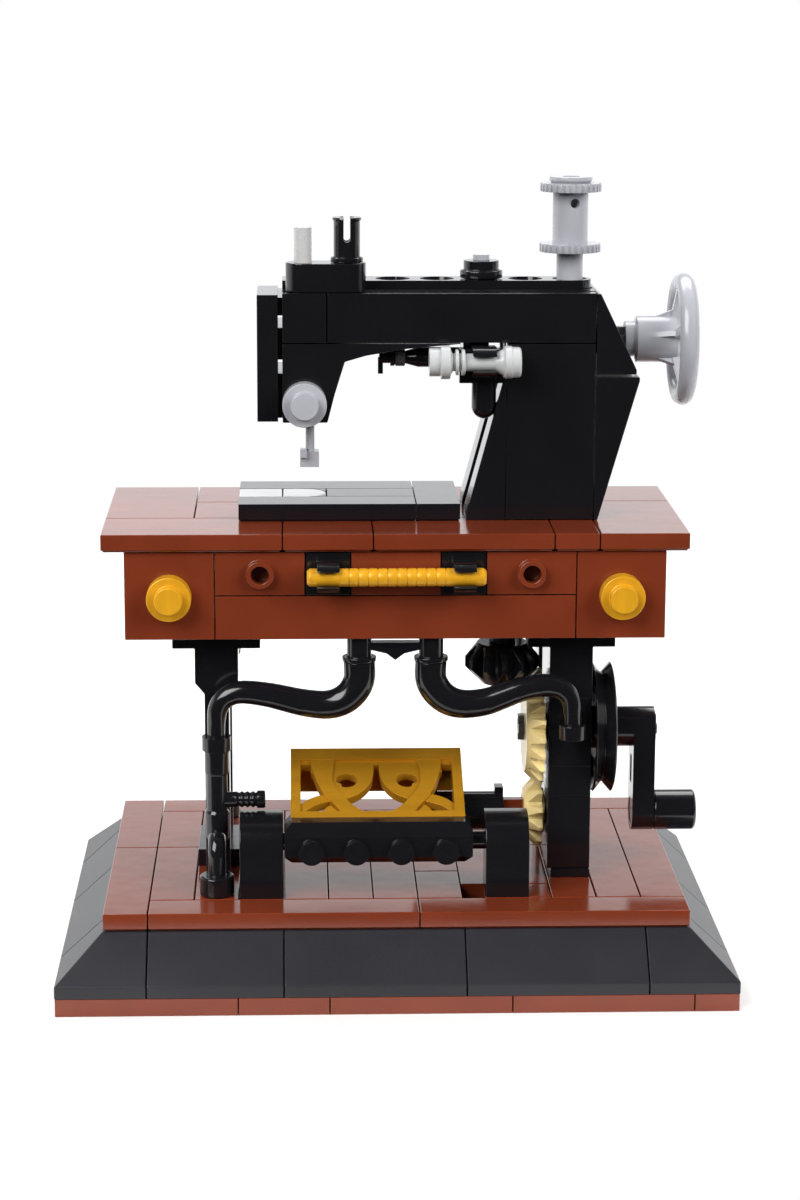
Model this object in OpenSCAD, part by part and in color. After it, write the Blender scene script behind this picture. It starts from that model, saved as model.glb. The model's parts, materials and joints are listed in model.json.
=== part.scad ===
// Brick-built display model of a treadle sewing machine on its table.
// Millimetres, +Z up, +Y to the back, origin at the centre of the underside.

/* [Brick system] */
// Stud pitch, the width of one brick module
stud = 8; // [8:0.5:8]
// Height of one plate, a third of a brick
plate = 3.2; // [3.2:0.1:3.2]
// Play left on each side face of a brick
play = 0.1; // [0.05:0.01:0.15]
// Diameter of a stud
stud_d = 4.9; // [4.8:0.05:5]
// Height of a stud
stud_h = 1.7; // [1.4:0.1:1.8]
// Diameter of a bar that fits the clips
bar_d = 3.2; // [3:0.05:3.2]

/* [Base] */
// Studs across the base
base_nx = 15; // [15:1:15]
// Studs from the front of the base to its back
base_ny = 11; // [11:1:11]
// Height of the upright lip under each slope
lip_h = 2.2; // [1.5:0.1:3]

/* [Table] */
// Height of the underside of the table box
box_z = 62.4; // [62.4:0.1:62.4]
// Height of the table box, two studs
box_h = 16; // [16:0.1:16]

/* [Drive] */
// Height of the crank shaft
main_z = 42.4; // [42:0.1:42.4]
// Distance of the crank shaft from the middle plane, to the front
main_y = -8; // [-8:1:-8]
// Teeth of the large tan gear
big_teeth = 20; // [20:1:20]
// Teeth of the small tan gear
small_teeth = 12; // [12:1:12]
// Outer diameter of the belt pulley
pulley_d = 24; // [18:0.5:24]
// Throw of the hand crank
crank_throw = 16; // [12:1:16]

/* [Treadle] */
// Backward tilt of the treadle lattice at rest, in degrees
treadle_tilt = 25; // [15:1:30]

/* [Head] */
// Height of the top of the arm
arm_z = 122.6; // [122.6:0.1:122.6]
// Height of the hand wheel axis
wheel_z = 113; // [112:0.5:114]
// Outer diameter of the hand wheel
wheel_d = 24; // [20:0.5:26]
// Outer diameter of the spool flanges
spool_d = 11; // [8:0.5:12]

/* [Hidden] */
$fn = 48;
eps = 0.01;
brick_h = 3 * plate;
base_w = base_nx * stud;
base_d = base_ny * stud;
deck_z = plate + brick_h;
deck_top = deck_z + plate;
table_z = box_z + box_h;
table_top = table_z + plate;
box_front = -23;
box_back = 22.8;
table_front = -24;
table_back = 24;
lower_z = main_z - (big_teeth + small_teeth) / 2;
upright_x = 20;
upright_mid_z = main_z + 12;
gear_x = 24;
head_front = -11.2;
head_back = 11.2;
panel_t = plate + play;
column_x = 28;
column_front = -16;
pivot_y = -24;
pivot_z = 25.6;
treadle_x = -3.05;
treadle_w = 33.6;
lattice_w = 31.4;
lattice_h = 19.2;
tube_y = -20;
foot_x = -32;
needle_x = -15;
needle_y = -6;
drawer_w = 8 * stud;
handle_z = box_z + 12;
knob_z = 103;
lamp_y = -14.6;
lamp_z = 110.7;
fit = 0.05;
brown = "#6b2a17";
black = "#1b1b1f";
tan_c = "#d9bd85";
gold = "#c98a1c";
grey = "#a9abb3";
dark_grey = "#5a5d61";
white_c = "#eeeeee";

// A brick from one grid corner to the other, with play on its four sides.
module brick(x0, x1, y0, y1, z0, z1) {
  translate([x0 + play, y0 + play, z0]) cube([x1 - x0 - 2 * play, y1 - y0 - 2 * play, z1 - z0]);
}

// A tile one plate high, with a narrow groove round its foot.
module tile(x0, x1, y0, y1, z0) {
  groove = 0.35;
  brick(x0, x1, y0, y1, z0 + groove, z0 + plate);
  brick(x0 + groove, x1 - groove, y0 + groove, y1 - groove, z0, z0 + groove + eps);
}

// A cylinder along +X, from x0 to x1, on the axis y, z.
module x_rod(x0, x1, y, z, d) {
  translate([x0, y, z]) rotate([0, 90, 0]) cylinder(d = d, h = x1 - x0);
}

// A cylinder along +Y, from y0 to y1, on the axis x, z.
module y_rod(y0, y1, x, z, d) {
  translate([x, y0, z]) rotate([-90, 0, 0]) cylinder(d = d, h = y1 - y0);
}

// A solid of revolution about an axis along X; its profile is [radius, x] points.
module x_turned(y, z, profile) {
  translate([0, y, z]) rotate([0, 90, 0]) rotate_extrude() polygon(profile);
}

// A cross-section in the YZ plane drawn along X.
module along_x(x0, x1, points) {
  translate([x0, 0, 0]) rotate([90, 0, 90]) linear_extrude(x1 - x0) polygon(points);
}

// A cross-section in the XZ plane drawn along Y.
module along_y(y0, y1, points) {
  translate([0, y1, 0]) rotate([90, 0, 0]) linear_extrude(y1 - y0) polygon(points);
}

// A cross-shaped axle along X.
module cross_axle(x0, x1, y, z, size = 4.7, rib = 1.8) {
  translate([x0, y, z]) {
    translate([0, -size / 2, -rib / 2]) cube([x1 - x0, size, rib]);
    translate([0, -rib / 2, -size / 2]) cube([x1 - x0, rib, size]);
  }
}

// Outline of a spur gear of module 1 with straight flanks and some backlash.
function gear_outline(n, tip, root, turn) = [
  for (i = [0 : n - 1])
    for (k = [0 : 3])
      let (r = k == 0 || k == 3 ? root : tip,
           half = k == 0 || k == 3 ? 1.0 : 0.36,
           side = k < 2 ? -1 : 1,
           a = turn + 360 * i / n + side * half * 180 / (PI * r))
      [r * cos(a), r * sin(a)]
];

// --- Base ---------------------------------------------------------------

// Lengths in studs of the plates of one row of the bottom layer.
front_row = [4, 2, 4, 4, 1];
mid_row = [3, 4, 4, 4];
row_sum = function(list, n) n == 0 ? 0 : list[n - 1] + row_sum(list, n - 1);

// One plate of the bottom layer, hollow underneath, with tubes between its studs.
module hollow_plate(nx, ny) {
  rim = 1.5;
  roof = 1.2;
  difference() {
    brick(0, nx * stud, 0, ny * stud, 0, plate);
    translate([rim, rim, -eps])
      cube([nx * stud - 2 * rim, ny * stud - 2 * rim, plate - roof]);
  }
  if (nx > 1)
    for (i = [1 : nx - 1])
      for (j = [1 : ny - 1])
        translate([i * stud, j * stud, 0.2])
          difference() {
            cylinder(d = 6.5, h = plate - roof);
            translate([0, 0, -eps]) cylinder(d = 4.8, h = plate - roof);
          }
}

module plate_row(list, y0, ny) {
  for (i = [0 : len(list) - 1])
    translate([-base_w / 2 + row_sum(list, i) * stud, y0, 0]) hollow_plate(list[i], ny);
}

module base_plates() {
  color(brown) {
    plate_row(front_row, -base_d / 2, 4);
    plate_row(mid_row, -base_d / 2 + 4 * stud, 3);
    plate_row(front_row, -base_d / 2 + 7 * stud, 4);
  }
}

// Cross-section of a slope brick: across is measured inwards from the outer lip.
slope_section = [
  [0, plate], [2 * stud, plate], [2 * stud, deck_z], [stud, deck_z], [0, plate + lip_h]
];

// Slope bricks along one side; half is the distance of the lip from the centre.
module slope_run(half, starts) {
  for (i = [0 : len(starts) - 2])
    along_x(starts[i] + play, starts[i + 1] - play, [for (p = slope_section) [p[0] - half, p[1]]]);
}

// A corner slope, where the two slopes meet on a mitre.
module slope_corner() {
  intersection() {
    along_x(-base_w / 2, -base_w / 2 + 2 * stud - play,
      [for (p = slope_section) [p[0] - base_d / 2, p[1]]]);
    along_y(-base_d / 2, -base_d / 2 + 2 * stud - play,
      [for (p = slope_section) [p[0] - base_w / 2, p[1]]]);
  }
}

module slope_ring() {
  color(black) {
    for (s = [0, 1]) rotate(180 * s) slope_run(base_d / 2, [-44, -20, 12, 44]);
    for (s = [-1, 1]) rotate(90 * s) slope_run(base_w / 2, [-28, -4, 28]);
    for (mx = [0, 1]) for (my = [0, 1])
      mirror([mx, 0, 0]) mirror([0, my, 0]) slope_corner();
  }
}

module base_core_bricks() {
  color(black)
    for (i = [0 : 2]) for (j = [0 : 2]) {
      x = [-44, -12, 20, 44];
      y = [-28, -12, 12, 28];
      brick(x[i], x[i + 1], y[j], y[j + 1], plate, deck_z);
    }
}

module deck_tile(x0, x1, y0, y1) tile(x0, x1, y0, y1, deck_z);

module deck_tiles() {
  color(brown) {
    for (y = [[-36, 4], [4, 36]]) deck_tile(-52, -44, y[0], y[1]);
    for (y = [[-36, -28], [28, 36]]) {
      deck_tile(-44, 4, y[0], y[1]);
      deck_tile(4, 52, y[0], y[1]);
    }
    for (x = [-44, -36]) deck_tile(x, x + 8, -28, 4);
    for (x = [-44, -36]) deck_tile(x, x + 8, 4, 28);
    deck_tile(-28, -20, -12, 28);
    deck_tile(-28, -20, -28, -12);
    deck_tile(-20, -12, -28, 28);
    deck_tile(-12, -4, -28, 28);
    deck_tile(-4, 4, -28, 28);
    deck_tile(4, 12, -28, -12);
    deck_tile(4, 12, -12, 28);
    deck_tile(12, 28, -20, 4);
    deck_tile(16, 28, -28, -20);
    deck_tile(12, 28, 4, 28);
    deck_tile(28, 36, -28, 4);
    deck_tile(28, 36, 4, 28);
    deck_tile(36, 44, -28, 28);
    deck_tile(44, 52, -28, 28);
  }
}

// --- Treadle ------------------------------------------------------------

// Curved block with a bore for the pivot axle.
module treadle_support(x0) {
  front = -28;
  back = -20;
  top = 30.4;
  bulge = 6;
  difference() {
    translate([x0 + play, 0, 0]) rotate([90, 0, 90])
      linear_extrude(stud - 2 * play)
        intersection() {
          translate([front + play, deck_top]) square([back - front - 2 * play, top - deck_top]);
          union() {
            translate([front, deck_top]) square([back - front, top - bulge - deck_top]);
            translate([front + play + bulge, deck_top]) square([bulge, top - deck_top]);
            translate([front + play + bulge, top - bulge]) circle(r = bulge, $fn = 64);
          }
        }
    x_rod(x0 - 1, x0 + 9, pivot_y, pivot_z, bar_d);
  }
}

module treadle_supports() {
  color(black) {
    treadle_support(-28);
    treadle_support(16);
  }
}

module treadle_axle() {
  color(black) x_rod(-27.5, 23.5, pivot_y, pivot_z, bar_d);
}

// Beam with bevelled edges that rocks on the axle, with its studs to the front.
module treadle_beam() {
  half = 4;
  cut = 1.3;
  top_cut = 2.2;
  left = treadle_x - treadle_w / 2;
  right = treadle_x + treadle_w / 2;
  low = pivot_z - 3.2;
  high = pivot_z + half;
  color(black) difference() {
    union() {
      intersection() {
        along_x(left, right, [
          [pivot_y - half, low + cut], [pivot_y - half + cut, low], [pivot_y + half - cut, low],
          [pivot_y + half, low + cut], [pivot_y + half, high], [pivot_y - half + top_cut, high],
          [pivot_y - half, high - top_cut]
        ]);
        along_y(pivot_y - half, pivot_y + half, [
          [left, low + cut], [left + cut, low], [right - cut, low], [right, low + cut],
          [right, high - cut], [right - cut, high], [left + cut, high], [left, high - cut]
        ]);
      }
      for (i = [-1.5 : 1.5])
        y_rod(pivot_y - half - stud_h, pivot_y - half + 1, treadle_x + i * stud, pivot_z - 0.7, 4.4);
    }
    x_rod(left - 1, right + 1, pivot_y, pivot_z, bar_d + 2 * fit);
  }
}

// Catmull-Rom point of a list at t, from 0 to the number of stretches.
function spline_at(list, t) = let (
    n = len(list) - 1, i = min(floor(t), n - 1), u = t - i,
    p0 = list[max(i - 1, 0)], p1 = list[i], p2 = list[i + 1], p3 = list[min(i + 2, n)])
  0.5 * (2 * p1 + (p2 - p0) * u + (2 * p0 - 5 * p1 + 4 * p2 - p3) * u * u
    + (3 * p1 - p0 - 3 * p2 + p3) * u * u * u);
function smooth(list, steps) = [
  for (k = [0 : steps]) spline_at(list, k * (len(list) - 1) / steps)
];

// Edges of the scrolls on the left half of the lattice, from its lower left corner.
band_outer = [[9.3, 1.2], [8, 3.5], [6.1, 6.4], [4.8, 9.9], [3.9, 13.8], [3.7, 16.2]];
band_inner = [[8.1, 16.2], [7.6, 11.2], [8, 9], [8.8, 7.2], [9.8, 5.5], [11.4, 3.3], [13.7, 1.2]];
lobe_edge = [[9.8, 5.5], [12, 6.6], [13.6, 8.3], [14.8, 10.7], [15.15, 13.8], [15.2, 15.6]];
tail_low = [[2.2, 1.2], [2.7, 2.2], [4.2, 3.6], [6.2, 4.6], [8, 5], [10.3, 5.6]];
tail_top = [[9, 7.6], [7, 7], [5.3, 6.6], [4.1, 6.1], [2.9, 5.3], [1.4, 3.8]];

// Left half of the lattice pattern, in the plane of the panel.
module lattice_half() {
  difference() {
    union() {
      polygon(concat([[7.6, 15.6], [7.6, 9], [8.9, 6.9]], smooth(lobe_edge, 18)));
      polygon(concat(smooth(tail_low, 15), smooth(tail_top, 15), [[1.2, 1.2]]));
      polygon([[7.2, 3.9], [6.5, 3.4], [5.9, 2.3], [6.6, 1], [9.4, 1]]);
      translate([3.7, 13]) square([11.5, 3]);
      translate([1, 15.1]) square([lattice_w / 2 - 1 + eps, 3.5]);
    }
    translate([10.2, 10.7]) circle(r = 1.9, $fn = 32);
  }
  translate([8.7, 9.4]) circle(r = 0.6, $fn = 16);
}

// Lattice panel standing on the beam and leaning to the back.
module treadle_lattice() {
  depth = 2.4;
  stile = 1.8;
  foot = 1.7;
  head = 3.1;
  lip = 4;
  rail = 1.6;
  rail_lip = 9.2;
  color(gold) difference() {
    translate([treadle_x, pivot_y + 1.2, pivot_z + 4.02]) rotate([treadle_tilt - 90, 0, 0])
      translate([0, depth, 0]) rotate([90, 0, 0]) {
        linear_extrude(depth) difference() {
          translate([-lattice_w / 2, 0]) square([lattice_w, lattice_h]);
          translate([-lattice_w / 2 + stile, foot])
            square([lattice_w - 2 * stile, lattice_h - head - foot]);
        }
        for (m = [0, 1]) mirror([m, 0]) translate([-lattice_w / 2, 0, 0.3]) {
          linear_extrude(1.6) lattice_half();
          linear_extrude(2) polygon(concat(smooth(band_outer, 15), smooth(band_inner, 18)));
        }
        translate([-lattice_w / 2, lattice_h - rail, depth - rail_lip])
          cube([lattice_w, rail, rail_lip]);
        for (x = [-lattice_w / 2, lattice_w / 2 - stile])
          translate([x, 0, depth - lip]) cube([stile, lattice_h - eps, lip]);
      }
    translate([-25, pivot_y - 6, pivot_z - 6]) cube([50, 10.02, 10.02]);
  }
}

// --- Legs ---------------------------------------------------------------

// Round foot with a spout that curves back to the post.
module leg_foot(y) {
  bend = 2.6;
  color(black) translate([foot_x, y, deck_top]) {
    rotate_extrude() polygon([
      [0, 0], [2.9, 0], [3.1, 0.3], [3.1, 3.4], [2.8, 3.7], [0, 3.7]
    ]);
    translate([0, 0, 3.6]) cylinder(d = bar_d, h = 3.5);
    translate([0, bend, 7.1]) rotate([90, 0, -90])
      rotate_extrude(angle = 90) translate([bend, 0]) circle(d = bar_d, $fn = 24);
  }
}

// Turned post with a collar on top.
module leg_post(y) {
  low = deck_top + 9;
  top = leg_top;
  color(black) translate([foot_x, y, 0]) difference() {
    rotate_extrude() polygon([
      [0, low], [2.1, low], [2.2, low + 2], [2.2, low + 5], [1.9, low + 5.5],
      [1.9, low + 12], [2.15, low + 12.5], [2.15, top - 2.8], [2.6, top - 2.5], [2.6, top],
      [0, top]
    ]);
    translate([0, 0, top - socket_h]) cylinder(d = bar_d + 2 * fit, h = socket_h + 1);
  }
}

// Short ribbed grip that sticks out of the front post to the right.
module ribbed_grip(y) {
  color(black) translate([foot_x, y, deck_top + 16.3]) rotate([0, 90, 0])
    rotate_extrude() polygon(concat(
      [[0, 0], [1.4, 0], [1.4, 3.4]],
      [for (i = [0 : 3]) for (k = [0 : 1]) [k == 0 ? 1.5 : 1.2, 3.5 + i + k * 0.5]],
      [[1.6, 7.3], [1.6, 8.5], [1.4, 8.7], [0, 8.7]]
    ));
}

leg_top = 44.1;
socket_h = 3.3;

module front_leg_foot() leg_foot(tube_y - 4.8);
module front_leg_post() {
  leg_post(tube_y);
  ribbed_grip(tube_y);
}
module rear_leg_foot() mirror([0, 1, 0]) leg_foot(tube_y - 4.8);
module rear_leg_post() mirror([0, 1, 0]) leg_post(tube_y);

// Plates and inverted slope under the left end of the table, and its narrow post.
module left_trestle() {
  post = 4.4;
  color(black) {
    brick(-40, -24, -16, 16, box_z - plate, box_z);
    brick(-36, -28, -16, 16, box_z - 2 * plate, box_z - plate);
    brick(-36, -28, -16, -8, box_z - 3 * plate, box_z - 2 * plate);
    brick(-36, -28, 8, 16, box_z - 3 * plate, box_z - 2 * plate);
    for (y = [-16, 8])
      along_y(y + play, y + stud - play, [
        [-36 + play, box_z - 3 * plate], [-28 - play, box_z - 3 * plate],
        [foot_x + post / 2, box_z - 3 * plate - 2], [foot_x + post / 2, deck_top],
        [foot_x - post / 2, deck_top], [foot_x - post / 2, box_z - 3 * plate - 2]
      ]);
    brick(-36, -28, -8, 8, deck_top, deck_top + plate);
    for (x = [-32]) translate([x - 1.6, -8 + 0.2, deck_top + 20]) cube([3.2, 15.6, 3.2]);
  }
}

// --- Right column and its bearings --------------------------------------

column_z = [deck_top, 17.6, 31.2, 36.8, 49.6, 59.2, box_z];

module bearing_brick(z0, z1, shaft_z) {
  difference() {
    brick(column_x, column_x + stud, column_front, 0, z0, z1);
    x_rod(column_x - 1, column_x + stud + 1, main_y, shaft_z, 4.9);
    for (x = [column_x + play - eps, column_x + stud - play - 0.9])
      x_rod(x, x + 0.9 + eps, main_y, shaft_z, 6.2);
  }
}

module column_bearing_bricks() {
  color(black) {
    bearing_brick(column_z[1], column_z[2], lower_z);
    bearing_brick(column_z[3], column_z[4], main_z);
  }
}

module column_bricks() {
  color(black) {
    brick(column_x + 0.6, column_x + stud, column_front - 0.6, 0, column_z[0], column_z[1]);
    brick(column_x, column_x + stud, column_front, 0, column_z[2], column_z[2] + 2.4);
    brick(column_x, column_x + stud, column_front, 0, column_z[2] + 2.4, column_z[3]);
    brick(column_x, column_x + stud, column_front, 0, column_z[4], column_z[5]);
    brick(column_x - 4, column_x + 12, column_front, 0, column_z[5], column_z[6]);
  }
}

module rear_column() {
  color(black) {
    for (i = [0 : 3])
      brick(column_x, column_x + stud, 8, 16, deck_top + i * brick_h, deck_top + (i + 1) * brick_h);
    brick(column_x, column_x + stud, 8, 16, deck_top + 4 * brick_h, box_z - plate);
    brick(column_x - 4, column_x + 12, 8, 16, box_z - plate, box_z);
  }
}

// --- Curved tubes under the table ---------------------------------------

// Route of one tube in the XZ plane, from the yoke down to its socket at end_z.
function tube_route(end_z, rise) = [
  [6.4, 57.9], [6.4, 54.5], [7.7, 52], [9.8, 50.4], [12.5, 49.8], [16.3, 50.2],
  [19.6, 50.6 + 0.4 * rise], [22.9, 51 + 0.8 * rise], [27.4, 51.3 + rise],
  [30.2, 50.4 + rise], [31.6, 48.5 + rise], [32, 46.2 + rise / 2], [32, end_z]
];
tube_sides = 20;
tube_steps = 44;

// Radius at the share t of the route: full at the yoke, slimmer at the socket.
function tube_radius(t) = 1.58 + 1.27 * pow(min(1, max(0, (0.92 - t) / 0.8)), 0.8);

module curved_tube(end_z, rise) {
  route = tube_route(end_z, rise);
  n = len(route) - 1;
  points = [
    for (k = [0 : tube_steps])
      let (t = k * n / tube_steps, c = spline_at(route, t),
           d = spline_at(route, min(t + 0.02, n)) - spline_at(route, max(t - 0.02, 0)),
           e = d / norm(d), r = tube_radius(t / n))
      for (j = [0 : tube_sides - 1])
        let (a = 360 * j / tube_sides)
        [c[0] - e[1] * r * cos(a), tube_y + r * sin(a), c[1] + e[0] * r * cos(a)]
  ];
  last = tube_steps * tube_sides;
  faces = concat(
    [[for (j = [tube_sides - 1 : -1 : 0]) j]],
    [[for (j = [0 : tube_sides - 1]) last + j]],
    [for (k = [0 : tube_steps - 1]) for (j = [0 : tube_sides - 1])
      let (a = k * tube_sides + j, b = k * tube_sides + (j + 1) % tube_sides)
      [a, b, b + tube_sides, a + tube_sides]]
  );
  polyhedron(points = points, faces = faces, convexity = 6);
}

module tube_left() color(black) mirror([1, 0, 0]) curved_tube(41.2, 0.9);
module tube_right() color(black) curved_tube(43.6, 1.9);

// Sleeves on top of the tubes, the bar between them and the column socket.
module tube_yoke() {
  low = 57.94;
  ring_z = 43.3;
  ring_h = 2.6;
  color(black) {
    for (s = [-1, 1]) translate([s * 6.4, tube_y, low]) rotate_extrude() polygon([
      [0, 0], [3.05, 0], [3.05, 0.8], [2.2, 0.8], [2.2, box_z - low], [0, box_z - low]
    ]);
    along_y(tube_y - 1.2, tube_y + 1.2, [
      [-5, 61.4], [-5, 60.2], [-1.6, 59.4], [0, 58.2], [1.6, 59.4], [5, 60.2], [5, 61.4]
    ]);
    difference() {
      union() {
        translate([32, tube_y, ring_z]) cylinder(d = 4.9, h = ring_h);
        translate([30.4, tube_y + 1.8, ring_z]) cube([3.2, 2.2 + play, ring_h]);
      }
      translate([32, tube_y, ring_z - eps]) cylinder(d = bar_d + 2 * fit, h = ring_h + 1);
    }
  }
}

// --- Drive train --------------------------------------------------------

module main_shaft() {
  color(dark_grey) {
    x_rod(28.05, 35.95, main_y, main_z, 4.8);
    cross_axle(23, 28.05, main_y, main_z, 4.6);
    cross_axle(35.95, 48.5, main_y, main_z, 4.6);
  }
}

// A bevelled tan gear with a cross hole, as thick as half a stud.
module tan_gear(n, tip, root, z, turn, hub) {
  thick = 3.4;
  color(tan_c) difference() {
    union() {
      intersection() {
        translate([gear_x, main_y, z]) rotate([0, 90, 0])
          linear_extrude(thick) polygon(gear_outline(n, tip, root, turn));
        x_turned(main_y, z, [
          [0, gear_x + 0.1], [tip - 2.5, gear_x + 0.1],
          [tip + 0.2, gear_x + 2.8], [tip + 0.2, gear_x + 4], [0, gear_x + 4]
        ]);
      }
      x_rod(gear_x + 0.1, gear_x + 3.9, main_y, z, 2 * hub);
    }
    cross_axle(gear_x - 1, gear_x + 5, main_y, z, 4.6, 1.8);
  }
}

module drive_gear() tan_gear(big_teeth, 10.8, 8.9, main_z, 0, 4.6);
module lower_gear() tan_gear(small_teeth, 6.8, 4.9, lower_z, 180 / small_teeth, 4.2);

module belt_pulley() {
  r = pulley_d / 2;
  x = 36.4;
  color(black) difference() {
    x_turned(main_y, main_z, [
      [0, x], [4, x], [4, x + 1.2], [r - 2.4, x + 1.2], [r - 0.6, x], [r, x + 0.3],
      [r - 2, x + 1.9], [r, x + 3.6], [r - 0.6, x + 3.9], [r - 2.4, x + 2.7],
      [4, x + 2.7], [4, x + 3.9], [0, x + 3.9]
    ]);
    cross_axle(x - 1, x + 5, main_y, main_z, 4.6, 1.8);
    for (a = [0 : 60 : 300])
      rotate_about_main(a) x_rod(x - 1, x + 5, main_y, main_z + 6.9, 2.6);
  }
}

module rotate_about_main(a) {
  translate([0, main_y, main_z]) rotate([a, 0, 0]) translate([0, -main_y, -main_z]) children();
}

// Hub and thin arm with round ends; the arm hangs down at rest.
module crank_arm() {
  x = 44.1;
  color(black) difference() {
    union() {
      x_rod(40.4, x, main_y, main_z, 7.4);
      x_rod(x, x + 4, main_y, main_z, 7.4);
      x_rod(x, x + 4, main_y, main_z - crank_throw, 7.4);
      translate([x, main_y - 3.7, main_z - crank_throw]) cube([4, 7.4, crank_throw]);
    }
    cross_axle(40, 49, main_y, main_z, 4.6, 1.8);
    x_rod(x - 1, x + 5, main_y, main_z - crank_throw, 4.8);
    translate([x - eps, main_y - 1.2, main_z - 10.6]) cube([4 + 2 * eps, 2.4, 5.2]);
  }
}

module crank_handle() {
  z = main_z - crank_throw;
  color(black) x_turned(main_y, z, [
    [0, 44.2], [2.4, 44.2], [2.4, 48.15], [3.5, 48.15], [3.7, 48.5], [3.7, 55.6], [3.3, 56], [0, 56]
  ]);
}

module lower_shaft() {
  color(brown) {
    x_rod(28.05, 35.5, main_y, lower_z, 4.8);
    cross_axle(5, 28.05, main_y, lower_z, 4.6);
  }
}

// Sleeve with a small tab, and the lobed disc that lifts the treadle.
module treadle_cam() {
  color(black) difference() {
    union() {
      x_rod(8, 20.4, main_y, lower_z, 7.2);
      x_rod(4, 8.2, main_y, lower_z + 1.2, 7.2);
      x_rod(4, 8.2, main_y, lower_z, 7.2);
      translate([18.8, main_y - 1.4, lower_z]) cube([1.6, 2.8, 4.8]);
    }
    cross_axle(3, 21, main_y, lower_z, 4.6, 1.8);
  }
}

module upright_shaft() {
  color(dark_grey) {
    translate([upright_x, main_y, 58.6]) cylinder(d = 4.8, h = 6.8);
    translate([upright_x, main_y, 50.4]) for (a = [0, 90])
      rotate(a) translate([-2.3, -0.9, 0]) cube([4.6, 1.8, 8.2 + eps]);
  }
}

// Black gear with teeth bevelled on both ends.
module upright_gear() {
  z0 = upright_mid_z - 3.9 + 0.4;
  color(black) difference() {
    union() {
      intersection() {
        translate([upright_x, main_y, z0]) linear_extrude(7.6)
          polygon(gear_outline(small_teeth, 6.8, 4.9, 0));
        translate([upright_x, main_y, 0]) rotate_extrude() polygon([
          [0, z0 - 1], [3.7, z0 - 1], [3.7, z0], [7, z0 + 3.3], [7, z0 + 4.6], [4.6, z0 + 7.6], [0, z0 + 7.6]
        ]);
      }
      translate([upright_x, main_y, z0]) cylinder(d = 7.2, h = 7.6);
    }
    translate([upright_x, main_y, z0 - 1]) for (a = [0, 90])
      rotate(a) translate([-2.3, -0.9, 0]) cube([4.6, 1.8, 10]);
  }
}

// --- Table --------------------------------------------------------------

// Floor of the table box, with the bearing of the upright shaft.
module table_floor() {
  color(black) difference() {
    for (x = [-48, -16, 16]) brick(x, x + 32, box_front + 3.4, box_back, box_z, box_z + plate);
    translate([upright_x, main_y, box_z - 1]) cylinder(d = 4.9, h = 6);
  }
}

// Walls round the drawer bay.
module table_box() {
  z0 = box_z + plate;
  color(brown) {
    for (s = [0, 1]) mirror([s, 0, 0]) {
      brick(-48, -44.8, box_front + 3.4, box_back, z0, table_z);
      brick(-44.8, -32.6, box_front + 3.4, -12, z0, table_z);
      brick(-36, -32.6, -12, 20, z0, table_z);
      brick(-44.8, -32.6, 20, box_back, z0, table_z);
    }
    brick(-32.6, 32.6, 20, box_back, z0, table_z);
    for (s = [0, 1]) mirror([s, 0, 0]) brick(-48, -32.6, 20, box_back, z0 - eps, z0);
  }
}

module table_tile(x0, x1, y0, y1) tile(x0, x1, y0, y1, table_z);

module table_tiles() {
  f = table_front;
  m = f + 16;
  b = f + 32;
  r = table_back;
  color(brown) {
    table_tile(-52, -20, f, m);
    table_tile(-20, -4, f, m);
    table_tile(-4, 28, f, m);
    table_tile(28, 36, f, m);
    table_tile(36, 52, f, b);
    table_tile(-52, -36, m, r);
    table_tile(-36, -4, m, b);
    table_tile(-4, 36, m, b);
    table_tile(-36, -4, b, r);
    table_tile(-4, 36, b, r);
    table_tile(36, 52, b, r);
  }
}

module corner_panels() {
  color(brown) for (x = [-48, 32])
    translate([x + play, box_front, box_z + play]) cube([16 - 2 * play, 3.3, 16 - 2 * play]);
}

// Round pull: a wide disc with a stud on it.
module round_pull(x, z, y, d) {
  y_rod(y - plate, y, x, z, d);
  y_rod(y - plate - stud_h, y - plate + eps, x, z, stud_d);
}

module corner_knobs() {
  color(gold) for (x = [-40, 40]) round_pull(x, box_z + 8, box_front - 0.02, 7.9);
}

// Tray behind the drawer front: floor, two sides and a back.
module drawer_tray() {
  z0 = box_z + plate + 0.3;
  x = drawer_w / 2 - 0.3;
  y0 = box_front + 3.3;
  y1 = 18;
  color(brown) difference() {
    translate([-x, y0, z0]) cube([2 * x, y1 - y0, 10.8]);
    translate([-x + 1.6, y0 + 1.6, z0 + 1.6]) cube([2 * x - 3.2, y1 - y0 - 3.2, 10.8]);
  }
}

module drawer_front() {
  y = box_front;
  t = 3.3;
  z1 = box_z + 8;
  color(brown) {
    translate([-32 + play, y, box_z + play]) cube([64 - 2 * play, t, 8 - 2 * play]);
    translate([-8 + play, y, z1 + play]) cube([16 - 2 * play, t, 8 - 2 * play]);
  }
}

// Panels with one hollow stud in the middle, left and right of the clips.
module drawer_jumpers() {
  z1 = box_z + 8;
  color(brown) for (s = [-1, 1]) translate([s * 24, 0, 0]) difference() {
    union() {
      translate([-8 + play, box_front, z1 + play]) cube([16 - 2 * play, 3.3, 8 - 2 * play]);
      y_rod(box_front - stud_h, box_front + 1, 0, z1 + 4, stud_d);
    }
    y_rod(box_front - 2, box_front + 1.6, 0, z1 + 4, bar_d);
  }
}

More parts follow.
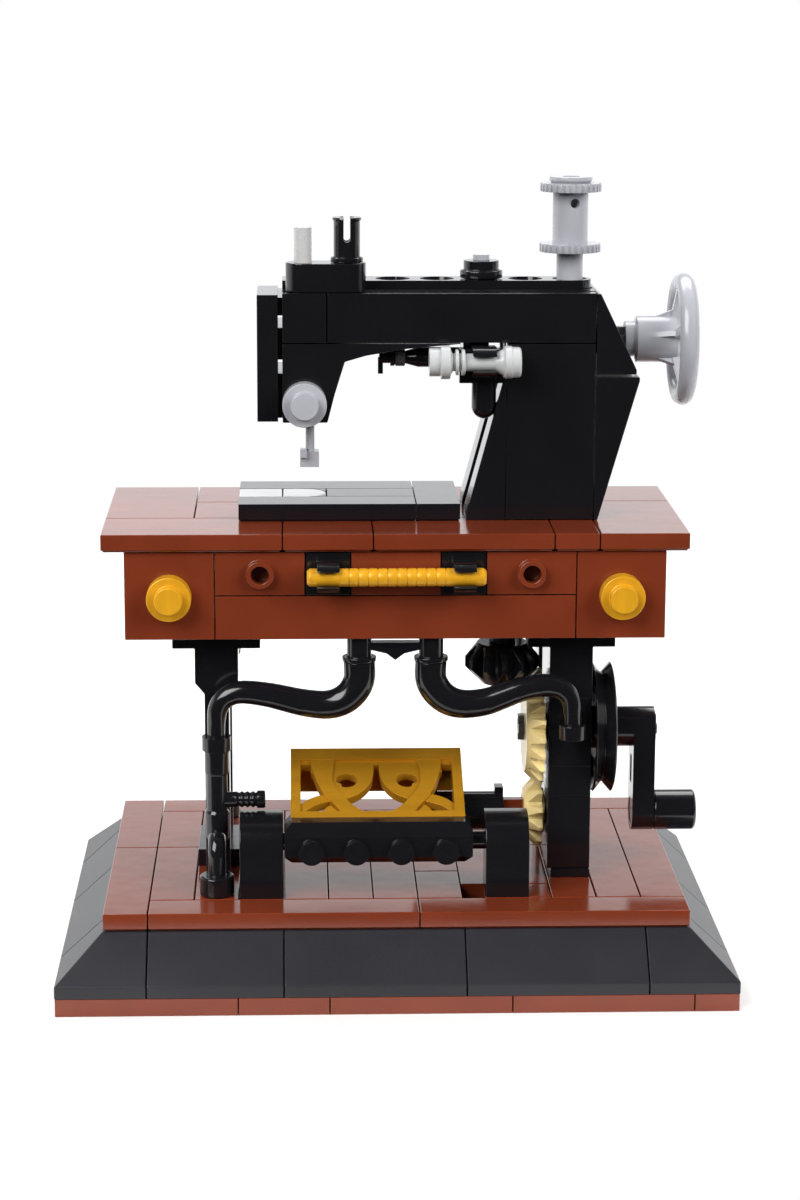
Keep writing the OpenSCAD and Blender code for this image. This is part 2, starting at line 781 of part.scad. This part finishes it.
// Two clips on square plates, open to the front.
module drawer_clips() {
  z1 = box_z + 8;
  y = box_front - 3.4;
  color(black) for (s = [-1, 1]) translate([s * 12, 0, 0]) {
    translate([-4 + play, box_front, z1 + play]) cube([8 - 2 * play, 3.3, 8 - 2 * play]);
    difference() {
      union() {
        translate([-2, y, handle_z]) rotate([0, 90, 0]) cylinder(d = 5.4, h = 4);
        translate([-2, y + 0.6, handle_z - 2.2]) cube([4, 2.9, 4.4]);
      }
      x_rod(-3, 3, y, handle_z, bar_d + 0.04);
      translate([-3, y - 4, handle_z - 1.3]) cube([6, 4, 2.6]);
    }
  }
}

module drawer_handle() {
  half = 15.75;
  y = box_front - 3.4;
  r = bar_d / 2;
  color(gold) difference() {
    x_turned(y, handle_z, [
      [0, -half], [r - 0.4, -half], [r, -half + 0.5], [r, half - 0.5], [r - 0.4, half], [0, half]
    ]);
    for (i = [-8 : 8]) if (abs(abs(i) - 7.0) > 1.2)
      x_turned(y, handle_z, [
        [r - 0.12, i * 1.7], [r + 1, i * 1.7], [r + 1, i * 1.7 + 0.25], [r - 0.12, i * 1.7 + 0.25]
      ]);
  }
}

// --- Head ---------------------------------------------------------------

module bed_tiles() {
  color(black) {
    tile(-28, 4, -12, -4, table_top);
    tile(-12, 4, -4, 4, table_top);
    difference() {
      brick(-20, -12, -4, 4, table_top, table_top + plate);
      inlay_half(0.1);
    }
    tile(-28, 4, 4, 12, table_top);
    tile(4, 12, -12, 12, table_top);
  }
}

// Half-round plate whose round end points right.
module inlay_half(grow) {
  z0 = table_top - (grow > 0 ? 1 : 0);
  translate([-16, 0, z0]) cylinder(r = 3.9 + grow, h = plate + (grow > 0 ? 2 : 0));
  translate([-20 + play - grow, -3.9 - grow, z0])
    cube([4, 7.8 + 2 * grow, plate + (grow > 0 ? 2 : 0)]);
}

module bed_inlay() {
  color(white_c) {
    brick(-28, -20, -4, 4, table_top, table_top + plate);
    inlay_half(0);
  }
}

// Structural bricks of the pillar and the arm, with the bearing of the wheel axle.
module head_core() {
  y0 = head_front + panel_t - play;
  y1 = head_back - panel_t + play;
  color(black) difference() {
    union() {
      for (i = [0 : 1])
        brick(20.4, 35.6, y0, y1, table_top + i * 1.6 * brick_h, table_top + (i + 1) * 1.6 * brick_h);
      brick(20.4, 35.6, y0, y1, table_top + 3.2 * brick_h, arm_z - 3);
      brick(-20, 20.4, y0, y1, 113.6, arm_z - 3);
    }
    x_rod(20, 45, 0, wheel_z, 4.9);
    x_rod(35, 36, 0, wheel_z, 6.2);
    translate([32, 0, 113]) cylinder(d = 4.9, h = 12);
    translate([16, 0, 113]) cylinder(d = 4.9, h = 12);
    translate([needle_x, needle_y, 90]) cylinder(d = 1.7, h = 40);
  }
}

// Smooth panels on the front and back of the head.
module head_panel_set(y) {
  module panel(x0, x1, z0, z1) {
    translate([x0 + play, y, z0 + play]) cube([x1 - x0 - 2 * play, panel_t, z1 - z0 - 2 * play]);
  }
  panel(-20, -12, 113.6, arm_z);
  panel(-12, 36, 113.6, arm_z);
  panel(20, 36, table_top, 113.6);
}

// Curved bracket between the arm and the needle head.
module arm_gusset(y) {
  along_y(y, y + panel_t, [
    [-20 + play, 113.5], [-20 + play, knob_z - 3.6], [-11.9, knob_z - 3.6], [-10.6, 104.5],
    [-8.8, 110.3], [-5, 111.4], [2, 112.6], [11.9, 113.5]
  ]);
}

module head_panels() {
  color(black) {
    head_panel_set(head_front);
    head_panel_set(head_back - panel_t);
    difference() {
      arm_gusset(head_front);
      y_rod(head_front - 1, head_front + 2.8, -16, knob_z, 3.3);
    }
    arm_gusset(head_back - panel_t);
  }
}

// Wedges against the left side of the pillar.
module pillar_wedges() {
  color(black) for (y = [head_front, 2.2]) {
    along_y(y, y + 7.8, [
      [13, table_top], [20, table_top], [20, 107.6], [19.6, 107.6], [13, table_top + 1.2]
    ]);
  }
}

// Slopes on the right side of the pillar: one leans out, one leans back in.
module shoulder_slopes() {
  x = 36.1;
  color(black) difference() {
    union() {
      along_y(head_front, head_back, [
        [x, arm_z - 0.2], [x + 0.6, arm_z - 0.2], [x + 7.2, 108.8], [x + 7.2, 108], [x, 108]
      ]);
      along_y(head_front, head_back, [
        [x, 107.5], [x + 7.8, 107.5], [x + 7.8, 106.8], [x + 0.6, table_top], [x, table_top]
      ]);
    }
    x_rod(x - 1, x + 10, 0, wheel_z, 7.2);
  }
}

// Upright plate that closes the left end of the arm.
module nose_cap() {
  color(black) {
    translate([-24.4, head_front + 0.2, 99.6]) cube([3.7, 15.4, 22.6]);
    for (z = [[99.8, 107.8], [110.3, 116], [118.2, 121.4]])
      translate([-20.71, -7.8, z[0]]) cube([0.81, 15.6, z[1] - z[0]]);
  }
}

// Block below the nose that guides the needle bar.
module needle_head() {
  y0 = head_front + panel_t - play;
  color(black) difference() {
    brick(-20, -12, y0, -y0, knob_z - 3.6, 113.6);
    translate([needle_x, needle_y, 90]) cylinder(d = 1.7, h = 30);
  }
}

module tension_knob() {
  color(grey) {
    round_pull(-16, knob_z, head_front - 0.3, 7.9);
    y_rod(head_front - 0.31, head_front + 2.6, -16, knob_z, 3.2);
  }
}

// Thin bar with a foot block at its lower end.
module needle_bar() {
  color(grey) {
    translate([needle_x, needle_y, 93.6 - eps]) cylinder(d = 1.6, h = 22);
    translate([needle_x - 1.8, needle_y - 1.6, 90.8]) cube([3.4, 3.2, 2.8]);
    translate([needle_x - 1.8, needle_y - 2.6, 92.6]) cube([1.2, 2, 1.6]);
  }
}

// Beam with a row of upright holes on top of the arm.
module top_beam() {
  top = arm_z + 1.4;
  z0 = arm_z - 3;
  color(black) difference() {
    union() {
      brick(-20, 32, -4, 4, z0, top);
      translate([32, 0, z0]) cylinder(d = 7.8, h = top - z0);
      brick(-20, 36, head_front + panel_t, -4, z0, arm_z - 0.02);
      brick(-20, 36, 4, head_back - panel_t, z0, arm_z - 0.02);
    }
    for (x = [-16 : stud : 32]) {
      translate([x, 0, z0 - 1]) cylinder(d = 4.9, h = 10);
      translate([x, 0, top - 0.9]) cylinder(d = 6.2, h = 2);
    }
  }
}

// Short block with round ends at the nose of the arm.
module thread_block() {
  z0 = arm_z - 0.02;
  y = -7.6;
  color(black) difference() {
    union() {
      translate([-15.9, y, z0]) cylinder(d = 6.8, h = 5.1);
      translate([-8.4, y, z0]) cylinder(d = 6.8, h = 5.1);
      translate([-15.9, y - 3.4, z0]) cube([7.5, 6.8, 5.1]);
    }
    translate([-16.2, y, z0 - 1]) cylinder(d = bar_d, h = 7);
    translate([-8.4, y, z0 - 1]) cylinder(d = 4.8, h = 7);
  }
}

module thread_bar() {
  color(grey) translate([-16.2, -7.6, arm_z + 0.05]) cylinder(d = bar_d, h = 11.3);
}

// Split pin with a collar and a lip.
module thread_pin() {
  z0 = arm_z + 0.05;
  top = 13;
  color(black) translate([-8.4, -7.6, z0]) difference() {
    rotate_extrude() polygon([
      [0, 0], [2.4, 0], [2.4, 5.15], [2.9, 5.15], [2.9, 5.9], [2.35, 6.1], [2.35, top - 0.7],
      [2.6, top - 0.4], [2.5, top], [0, top]
    ]);
    translate([-0.6, -4, 9.3]) cube([1.2, 8, 8]);
    translate([0, 4, 9.3]) rotate([90, 0, 0]) cylinder(d = 1.2, h = 8, $fn = 24);
    translate([0, 0, 7]) cylinder(d = 2.6, h = 10);
  }
}

// Bush with a small pin in it, turning in the beam.
module winder_bush() {
  z0 = arm_z + 0.7;
  color(dark_grey) translate([16, 0, z0]) rotate_extrude() polygon([
    [0, -3], [2.4, -3], [2.4, 0], [3.0, 0], [3.0, 0.9], [3.85, 0.9], [3.85, 2.2], [3.2, 2.4],
    [3.2, 4], [1.5, 4], [1.5, 5], [0, 5]
  ]);
}

// Bobbin of thread-holder shape: two toothed flanges on a hollow tube.
module spool() {
  z0 = arm_z + 0.7;
  color(grey) translate([32, 0, z0]) difference() {
    union() {
      rotate_extrude() polygon([
        [0, -3], [2.4, -3], [2.4, 5.2], [3.2, 5.6], [3.2, 17.6], [3.9, 18.4], [3.9, 19], [0, 19]
      ]);
      for (z = [5.6, 16.4]) translate([0, 0, z]) difference() {
        cylinder(d = spool_d, h = 1.5);
        for (a = [0 : 12 : 348])
          rotate(a) translate([spool_d / 2 + 0.1, 0, -1]) cylinder(d = 0.72, h = 4, $fn = 12);
      }
    }
    translate([0, 0, -4]) cylinder(d = 3.2, h = 30);
    translate([0, 0, 14.4]) rotate([90, 0, 10]) cylinder(d = 1.7, h = 10, $fn = 24);
  }
}

// Spoked hand wheel with a long ribbed hub.
module hand_wheel() {
  r = wheel_d / 2;
  color(grey) {
    difference() {
      union() {
        x_turned(0, wheel_z, [
          [0, 42.2], [3.2, 42.2], [3.2, 44], [4.2, 44.3], [4.2, 51.5], [2.8, 53.2], [0, 53.2]
        ]);
        for (a = [0 : 72 : 288]) translate([0, 0, wheel_z]) rotate([a, 0, 0]) {
          along_y(-0.7, 0.7, [[50.2, 2], [52.6, 2], [53.2, r - 1], [52.0, r - 1]]);
          along_y(-0.45, 0.45, [[45, 3], [51, 3], [51, 5.4]]);
        }
      }
      cross_axle(40, 50, 0, wheel_z, 4.6, 1.8);
    }
    translate([52.8, 0, wheel_z]) rotate([0, 90, 0])
      rotate_extrude() translate([r - 1.5, 0]) scale([1, 1.15]) circle(r = 1.5, $fn = 32);
  }
}

module wheel_axle() {
  color(dark_grey) {
    x_rod(22, 40.6, 0, wheel_z, 4.8);
    cross_axle(40.6, 49.4, 0, wheel_z, 4.55, 1.75);
  }
}

// Clip, bracket and rounded hinge piece that hold the lamp in front of the pillar.
module lamp_clip() {
  x = 13.7;
  low = lamp_z - 4.2;
  hinge_x = 16.1;
  color(black) {
    difference() {
      union() {
        x_rod(x, x + 4.2, lamp_y, lamp_z, 5.6);
        translate([x, lamp_y + 0.6, lamp_z - 2.6]) cube([4.2, 2.8 + eps, 5.2]);
      }
      x_rod(x - 1, x + 6, lamp_y, lamp_z, bar_d + 0.04);
      translate([x - 1, lamp_y - 4, lamp_z - 1.3]) cube([6, 4, 2.6]);
    }
    translate([11.6, head_front, low]) cube([7.8, 3.1, 6]);
    translate([12.4, head_front + 3.1 - eps, low]) cube([4.6, 10, 113.58 - low]);
    translate([hinge_x, head_front + 1.9, low - 4.4]) cylinder(d = 4.4, h = 4.4 + eps);
    translate([hinge_x, head_front + 1.9, low - 4.4]) sphere(d = 4.4);
  }
}

// White lamp grip with rings and a flared end.
module lamp() {
  color(white_c) x_turned(lamp_y, lamp_z, [
    [0, 6.0], [2.5, 6.0], [2.5, 8.0], [3.0, 8.1], [3.0, 9.7], [2.2, 9.9], [1.57, 10.2],
    [1.57, 10.6], [2.3, 10.7], [2.3, 11.2], [1.57, 11.3], [1.57, 11.7], [2.3, 11.8],
    [2.3, 12.3], [1.57, 12.5], [1.57, 17.6], [2.4, 19.2], [2.9, 19.5], [2.9, 20.6],
    [2.7, 20.8], [2.7, 22.0], [2.4, 22.3], [0, 22.3]
  ]);
}

// Tapered black rod under the arm, with a ring and a small tab that hangs down.
module lamp_rod() {
  y = -6;
  z = 110.5;
  color(black) {
    x_turned(y, z, [
      [0, -2.6], [1.1, -2.6], [1.1, -0.6], [1.6, -0.6], [1.6, 0.1], [1.4, 0.2], [1.4, 1.8],
      [1.1, 1.9], [1.8, 4.4], [1.8, 12.39], [0, 12.39]
    ]);
    translate([-2.8, y - 0.8, z - 2.9]) cube([0.9, 1.6, 2.9]);
  }
}

base_plates();
slope_ring();
base_core_bricks();
deck_tiles();
treadle_supports();
treadle_axle();
treadle_beam();
treadle_lattice();
front_leg_foot();
front_leg_post();
rear_leg_foot();
rear_leg_post();
left_trestle();
column_bearing_bricks();
column_bricks();
rear_column();
tube_left();
tube_right();
tube_yoke();
main_shaft();
drive_gear();
belt_pulley();
crank_arm();
crank_handle();
lower_shaft();
lower_gear();
treadle_cam();
upright_shaft();
upright_gear();
table_floor();
table_box();
table_tiles();
corner_panels();
corner_knobs();
drawer_tray();
drawer_front();
drawer_jumpers();
drawer_clips();
drawer_handle();
bed_tiles();
bed_inlay();
head_core();
head_panels();
pillar_wedges();
shoulder_slopes();
nose_cap();
needle_head();
tension_knob();
needle_bar();
top_beam();
thread_block();
thread_bar();
thread_pin();
winder_bush();
spool();
hand_wheel();
wheel_axle();
lamp_clip();
lamp();
lamp_rod();
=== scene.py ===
"""Looks of the brick-built treadle sewing machine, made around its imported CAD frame."""
import json
import math

import bmesh
import bpy
from mathutils import Matrix, Vector


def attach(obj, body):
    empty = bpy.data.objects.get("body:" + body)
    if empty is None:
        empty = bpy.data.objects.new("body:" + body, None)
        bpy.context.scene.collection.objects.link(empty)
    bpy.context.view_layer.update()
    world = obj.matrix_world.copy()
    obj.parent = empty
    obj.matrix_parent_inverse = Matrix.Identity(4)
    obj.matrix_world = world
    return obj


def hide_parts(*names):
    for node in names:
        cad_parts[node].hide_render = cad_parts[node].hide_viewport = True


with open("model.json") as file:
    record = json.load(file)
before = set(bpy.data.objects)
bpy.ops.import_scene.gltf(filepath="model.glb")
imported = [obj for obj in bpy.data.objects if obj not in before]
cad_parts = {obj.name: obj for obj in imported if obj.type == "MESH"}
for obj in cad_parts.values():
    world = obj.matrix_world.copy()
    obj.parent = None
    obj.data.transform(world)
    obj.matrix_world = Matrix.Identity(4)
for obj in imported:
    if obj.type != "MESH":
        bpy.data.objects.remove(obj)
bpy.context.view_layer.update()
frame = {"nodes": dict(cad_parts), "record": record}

MM = 0.001
NODES = frame["nodes"]
BODY_OF = {
    node: body
    for body, nodes in frame["record"]["behaviour"]["bodies"].items()
    for node in nodes
}
SLOT_OF = {s["node"]: s["material_slot"] for s in frame["record"]["subparts"]}


# --- Camera, floor and light ------------------------------------------------

CAMERA_AT = Vector((-17.8, -528.2, 179.9)) * MM
CAMERA_PITCH = math.radians(-12.31)
CAMERA_YAW = math.radians(2.10)
CAMERA_ROLL = math.radians(0.22)
CAMERA_LENS = 87.8
SENSOR_HEIGHT = 36
CLIP_RANGE = (0.01, 20)

# Strength of the room as reflections see it: dim in front, a bright screen behind, less above it.
ROOM_DIM = 0.03
SCREEN_BRIGHT = 1.3
SCREEN_FADE = (-0.35, 0.2)
ABOVE_SCREEN = 0.25
SCREEN_TOP = (0.29, 0.37)
ROOM_COLOR = (0.97, 0.985, 1.0, 1)

# Soft lights, in metres: place, point aimed at, size, watts, seen in reflections.
LIGHTS = {
    "back_soft": ((0.0, 0.55, 0.95), (0, 0.05, 0.05), (1.1, 0.6), 11.0, True),
    "left_soft": ((-0.65, -0.7, 0.75), (0, 0, 0.07), (0.8, 0.8), 17.0, True),
    "right_soft": ((0.75, -0.6, 0.6), (0, 0, 0.07), (0.6, 0.7), 12.0, False),
}
FLOOR_X = (-0.4, 0.4)
FLOOR_Y = (-0.075, 0.4)


def make_camera():
    data = bpy.data.cameras.new("camera")
    data.sensor_fit = "VERTICAL"
    data.sensor_height = SENSOR_HEIGHT
    data.lens = CAMERA_LENS
    data.clip_start, data.clip_end = CLIP_RANGE
    camera = bpy.data.objects.new("camera", data)
    bpy.context.scene.collection.objects.link(camera)
    forward = Vector((
        math.sin(CAMERA_YAW) * math.cos(CAMERA_PITCH),
        math.cos(CAMERA_YAW) * math.cos(CAMERA_PITCH),
        math.sin(CAMERA_PITCH),
    ))
    right = Vector((math.cos(CAMERA_YAW), -math.sin(CAMERA_YAW), 0))
    up = right.cross(forward)
    rolled_right = math.cos(CAMERA_ROLL) * right + math.sin(CAMERA_ROLL) * up
    rolled_up = rolled_right.cross(forward)
    axes = Matrix((rolled_right, rolled_up, -forward)).transposed()
    camera.matrix_world = Matrix.Translation(CAMERA_AT) @ axes.to_4x4()
    bpy.context.scene.camera = camera


def area_light(name, at, aim, size, power, in_reflections):
    data = bpy.data.lights.new(name, "AREA")
    data.shape = "RECTANGLE"
    data.size, data.size_y = size
    data.energy = power
    light = bpy.data.objects.new(name, data)
    bpy.context.scene.collection.objects.link(light)
    light.location = at
    light.rotation_euler = (Vector(aim) - Vector(at)).to_track_quat("-Z", "Y").to_euler()
    light.visible_glossy = in_reflections


def world_part(tree, source, fade_range, at_low, at_high):
    """Smooth change of strength along one axis of the world."""
    fade = tree.nodes.new("ShaderNodeMapRange")
    fade.interpolation_type = "SMOOTHSTEP"
    fade.inputs["From Min"].default_value = fade_range[0]
    fade.inputs["From Max"].default_value = fade_range[1]
    fade.inputs["To Min"].default_value = at_low
    fade.inputs["To Max"].default_value = at_high
    tree.links.new(source, fade.inputs["Value"])
    return fade.outputs["Result"]


def make_world():
    """White to the camera; in reflections a white screen behind a dim room."""
    world = bpy.data.worlds.new("studio")
    bpy.context.scene.world = world
    world.use_nodes = True
    tree = world.node_tree
    coords = tree.nodes.new("ShaderNodeTexCoord")
    axes = tree.nodes.new("ShaderNodeSeparateXYZ")
    tree.links.new(coords.outputs["Generated"], axes.inputs["Vector"])
    behind = world_part(tree, axes.outputs["Y"], SCREEN_FADE, ROOM_DIM, SCREEN_BRIGHT)
    height = world_part(tree, axes.outputs["Z"], SCREEN_TOP, 1.0, ABOVE_SCREEN)
    strength = tree.nodes.new("ShaderNodeMath")
    strength.operation = "MULTIPLY"
    tree.links.new(behind, strength.inputs[0])
    tree.links.new(height, strength.inputs[1])
    room = tree.nodes["Background"]
    room.inputs["Color"].default_value = ROOM_COLOR
    tree.links.new(strength.outputs["Value"], room.inputs["Strength"])
    white = tree.nodes.new("ShaderNodeBackground")
    white.inputs["Color"].default_value = (1, 1, 1, 1)
    path = tree.nodes.new("ShaderNodeLightPath")
    mix = tree.nodes.new("ShaderNodeMixShader")
    tree.links.new(path.outputs["Is Camera Ray"], mix.inputs["Fac"])
    tree.links.new(room.outputs["Background"], mix.inputs[1])
    tree.links.new(white.outputs["Background"], mix.inputs[2])
    tree.links.new(mix.outputs["Shader"], tree.nodes["World Output"].inputs["Surface"])


def make_studio():
    bpy.context.scene.view_settings.view_transform = "Standard"
    make_world()
    for name, settings in LIGHTS.items():
        area_light(name, *settings)
    floor = new_object("floor", *plane_mesh(*FLOOR_X, *FLOOR_Y))
    floor.data.materials.append(floor_material())


def plane_mesh(x0, x1, y0, y1):
    return [(x0, y0, 0), (x1, y0, 0), (x1, y1, 0), (x0, y1, 0)], [(0, 1, 2, 3)]


def new_object(name, points, faces):
    mesh = bpy.data.meshes.new(name)
    mesh.from_pydata([tuple(p) for p in points], [], faces)
    mesh.validate()
    obj = bpy.data.objects.new(name, mesh)
    bpy.context.scene.collection.objects.link(obj)
    return obj


# --- Materials --------------------------------------------------------------


def node_material(name):
    material = bpy.data.materials.new(name)
    material.use_nodes = True
    tree = material.node_tree
    shader = tree.nodes["Principled BSDF"]
    return material, tree, shader


def object_noise(tree, scale, detail=3.0, roughness=0.5, stretch=(1, 1, 1)):
    """Noise in metres of the object's own space, stretched along an axis if asked."""
    coords = tree.nodes.new("ShaderNodeTexCoord")
    mapping = tree.nodes.new("ShaderNodeMapping")
    mapping.inputs["Scale"].default_value = stretch
    noise = tree.nodes.new("ShaderNodeTexNoise")
    noise.inputs["Scale"].default_value = scale
    noise.inputs["Detail"].default_value = detail
    noise.inputs["Roughness"].default_value = roughness
    tree.links.new(coords.outputs["Object"], mapping.inputs["Vector"])
    tree.links.new(mapping.outputs["Vector"], noise.inputs["Vector"])
    return noise


def ramp(tree, source, low, high, dark, light):
    """Colour ramp from dark at low to light at high."""
    node = tree.nodes.new("ShaderNodeValToRGB")
    node.color_ramp.elements[0].position = low
    node.color_ramp.elements[0].color = (*dark, 1)
    node.color_ramp.elements[1].position = high
    node.color_ramp.elements[1].color = (*light, 1)
    tree.links.new(source, node.inputs["Fac"])
    return node


def ranged(tree, source, low, high):
    node = tree.nodes.new("ShaderNodeMapRange")
    node.inputs["To Min"].default_value = low
    node.inputs["To Max"].default_value = high
    tree.links.new(source, node.inputs["Value"])
    return node


def scaled(color, factor):
    return tuple(min(1.0, c * factor) for c in color)


def add_bump(tree, shader, source, strength, distance, below=None):
    bump = tree.nodes.new("ShaderNodeBump")
    bump.inputs["Strength"].default_value = strength
    bump.inputs["Distance"].default_value = distance
    tree.links.new(source, bump.inputs["Height"])
    if below is not None:
        tree.links.new(below.outputs["Normal"], bump.inputs["Normal"])
    tree.links.new(bump.outputs["Normal"], shader.inputs["Normal"])
    return bump


def moulded_plastic(name, color, rough=(0.10, 0.2), variation=0.08, wave=0.25):
    """Glossy moulded plastic: slight waviness, faint handling marks and cloudy tone."""
    material, tree, shader = node_material(name)
    cloud = object_noise(tree, 90, 2.0)
    tone = ramp(
        tree, cloud.outputs["Fac"], 0.3, 0.7,
        scaled(color, 1 - variation), scaled(color, 1 + variation),
    )
    tree.links.new(tone.outputs["Color"], shader.inputs["Base Color"])
    marks = object_noise(tree, 700, 6.0, 0.65)
    gloss = ranged(tree, marks.outputs["Fac"], *rough)
    tree.links.new(gloss.outputs["Result"], shader.inputs["Roughness"])
    sink = object_noise(tree, 160, 1.0)
    waves = add_bump(tree, shader, sink.outputs["Fac"], wave, 0.00012)
    scuffs = object_noise(tree, 2600, 3.0, 0.6)
    add_bump(tree, shader, scuffs.outputs["Fac"], 0.04, 0.00002, waves)
    shader.inputs["IOR"].default_value = 1.53
    return material


def grained_plastic(name, color):
    """Fine spark-eroded grain, as on the sloping faces of slope bricks."""
    material, tree, shader = node_material(name)
    cloud = object_noise(tree, 60, 3.0)
    tone = ramp(
        tree, cloud.outputs["Fac"], 0.3, 0.7, scaled(color, 0.85), scaled(color, 1.15)
    )
    tree.links.new(tone.outputs["Color"], shader.inputs["Base Color"])
    grain = object_noise(tree, 3200, 4.0, 0.7)
    gloss = ranged(tree, grain.outputs["Fac"], 0.28, 0.46)
    tree.links.new(gloss.outputs["Result"], shader.inputs["Roughness"])
    add_bump(tree, shader, grain.outputs["Fac"], 0.55, 0.00006)
    shader.inputs["IOR"].default_value = 1.45
    return material


def pearl_plastic(name, color, flow=(1, 6, 1), glitter=0.5):
    """Pearlescent plastic with streaks where the pigment flowed in the mould."""
    material, tree, shader = node_material(name)
    streaks = object_noise(tree, 70, 5.0, 0.6, flow)
    tone = ramp(
        tree, streaks.outputs["Fac"], 0.32, 0.68, scaled(color, 0.9), scaled(color, 1.08)
    )
    tree.links.new(tone.outputs["Color"], shader.inputs["Base Color"])
    flakes = object_noise(tree, 5200, 2.0, 0.8)
    gloss = ranged(tree, flakes.outputs["Fac"], 0.24, 0.42)
    tree.links.new(gloss.outputs["Result"], shader.inputs["Roughness"])
    add_bump(tree, shader, flakes.outputs["Fac"], 0.12, 0.00002)
    shader.inputs["Metallic"].default_value = glitter
    shader.inputs["IOR"].default_value = 1.5
    return material


def floor_material():
    """Plain pale floor with the faintest mottling."""
    material, tree, shader = node_material("floor_white")
    mottle = object_noise(tree, 12, 3.0)
    tone = ramp(
        tree, mottle.outputs["Fac"], 0.3, 0.7, (0.80, 0.80, 0.795), (0.83, 0.83, 0.825)
    )
    tree.links.new(tone.outputs["Color"], shader.inputs["Base Color"])
    shader.inputs["Roughness"].default_value = 0.8
    return material


MATERIALS = {
    "black_plastic": moulded_plastic("black_plastic", (0.006, 0.006, 0.0075)),
    "black_slope_plastic": grained_plastic("black_slope_plastic", (0.016, 0.016, 0.020)),
    "reddish_brown_plastic": moulded_plastic("reddish_brown_plastic", (0.16, 0.028, 0.010)),
    "tan_plastic": moulded_plastic("tan_plastic", (0.78, 0.61, 0.27), (0.22, 0.36)),
    "pearl_gold_plastic": pearl_plastic("pearl_gold_plastic", (0.62, 0.29, 0.016)),
    "golden_yellow_plastic": pearl_plastic("golden_yellow_plastic", (0.72, 0.35, 0.014), (6, 1, 1), 0.2),
    "grey_plastic": moulded_plastic("grey_plastic", (0.35, 0.355, 0.385), (0.16, 0.28)),
    "light_grey_plastic": moulded_plastic("light_grey_plastic", (0.44, 0.435, 0.425), (0.2, 0.34)),
    "dark_grey_plastic": moulded_plastic("dark_grey_plastic", (0.085, 0.09, 0.1), (0.2, 0.34)),
    "white_plastic": moulded_plastic("white_plastic", (0.46, 0.47, 0.47), (0.14, 0.26)),
}


# --- Rounded mouldings ------------------------------------------------------

# Radius in mm of the moulded edges of each node, where it isn't the usual one.
EDGE_RADIUS = {
    "drive_gear": 0.12, "lower_gear": 0.12, "upright_gear": 0.14, "spool": 0.08,
    "hand_wheel": 0.12, "drawer_handle": 0.05, "lamp": 0.1, "treadle_lattice": 0.16,
    "main_shaft": 0.1, "lower_shaft": 0.1, "upright_shaft": 0.1, "wheel_axle": 0.1,
    "thread_pin": 0.08, "winder_bush": 0.1, "belt_pulley": 0.1, "needle_bar": 0.1,
    "front_leg_post": 0.08, "rear_leg_post": 0.08, "lamp_rod": 0.08,
}
USUAL_RADIUS = 0.17
EDGE_ANGLE = math.radians(28)
WELD_DISTANCE = 0.000002
FLAT_ANGLE = math.radians(0.6)
CORNER_STEPS = 2
FLAT_WEIGHT = 80
TURNED_EDGE_ANGLE = math.radians(32)


def rounded_copy(node, radius):
    """A copy of a CAD node whose sharp edges have a small moulded radius."""
    source = NODES[node]
    mesh = source.data.copy()
    piece = bpy.data.objects.new(node + "_moulded", mesh)
    bpy.context.scene.collection.objects.link(piece)
    piece.matrix_world = source.matrix_world
    work = bmesh.new()
    work.from_mesh(mesh)
    bmesh.ops.remove_doubles(work, verts=work.verts, dist=WELD_DISTANCE)
    bmesh.ops.dissolve_limit(
        work, angle_limit=FLAT_ANGLE, verts=work.verts, edges=work.edges
    )
    sharp = [
        e for e in work.edges
        if len(e.link_faces) == 2 and e.calc_face_angle(0) > EDGE_ANGLE
    ]
    bmesh.ops.bevel(
        work, geom=sharp, offset=radius * MM, offset_type="OFFSET", segments=CORNER_STEPS,
        profile=0.5, affect="EDGES", clamp_overlap=True,
    )
    for face in work.faces:
        face.smooth = True
    work.to_mesh(mesh)
    work.free()
    mesh.materials.clear()
    mesh.materials.append(MATERIALS[SLOT_OF[node]])
    keep_flats = piece.modifiers.new("weighted", "WEIGHTED_NORMAL")
    keep_flats.keep_sharp = False
    keep_flats.weight = FLAT_WEIGHT
    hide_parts(node)
    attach(piece, BODY_OF[node])
    return piece


def turned(name, node, slot, at, profile, along="Z", sides=48):
    """A small turned piece on a CAD node; its profile is (radius, distance) in mm."""
    points, faces, rings = [], [], []
    for radius, distance in profile:
        start = len(points)
        if radius == 0:
            points.append((0, 0, distance))
            rings.append([start] * sides)
            continue
        for k in range(sides):
            angle = 2 * math.pi * k / sides
            points.append((radius * math.cos(angle), radius * math.sin(angle), distance))
        rings.append(list(range(start, start + sides)))
    for low_ring, high_ring in zip(rings, rings[1:]):
        for k in range(sides):
            m = (k + 1) % sides
            corners = [low_ring[k], low_ring[m], high_ring[m], high_ring[k]]
            faces.append(tuple(dict.fromkeys(corners)))
    turn = {"Z": Matrix.Identity(4), "X": Matrix.Rotation(math.pi / 2, 4, "Y")}[along]
    place = Matrix.Translation(Vector(at)) @ turn
    points = [(place @ Vector(p)) * MM for p in points]
    piece = new_object(name, points, faces)
    for face in piece.data.polygons:
        face.use_smooth = True
    piece.data.set_sharp_from_angle(angle=TURNED_EDGE_ANGLE)
    piece.data.materials.append(MATERIALS[slot])
    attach(piece, BODY_OF[node])
    return piece


def small_pieces():
    """Pieces whose colour differs from the CAD node they sit on."""
    turned("winder_tip", "winder_bush", "grey_plastic", (16, 0, 123.3), [
        (0, 3.8), (1.52, 3.8), (1.52, 4.9), (1.4, 5.02), (0, 5.02),
    ])
    turned("rod_ring", "lamp_rod", "dark_grey_plastic", (0, -6, 110.5), [
        (0.9, 0.3), (1.5, 0.3), (1.62, 0.45), (1.62, 1.9), (1.5, 2.05), (0.9, 2.05),
    ], "X")


make_camera()
make_studio()
for node in NODES:
    rounded_copy(node, EDGE_RADIUS.get(node, USUAL_RADIUS))
small_pieces()
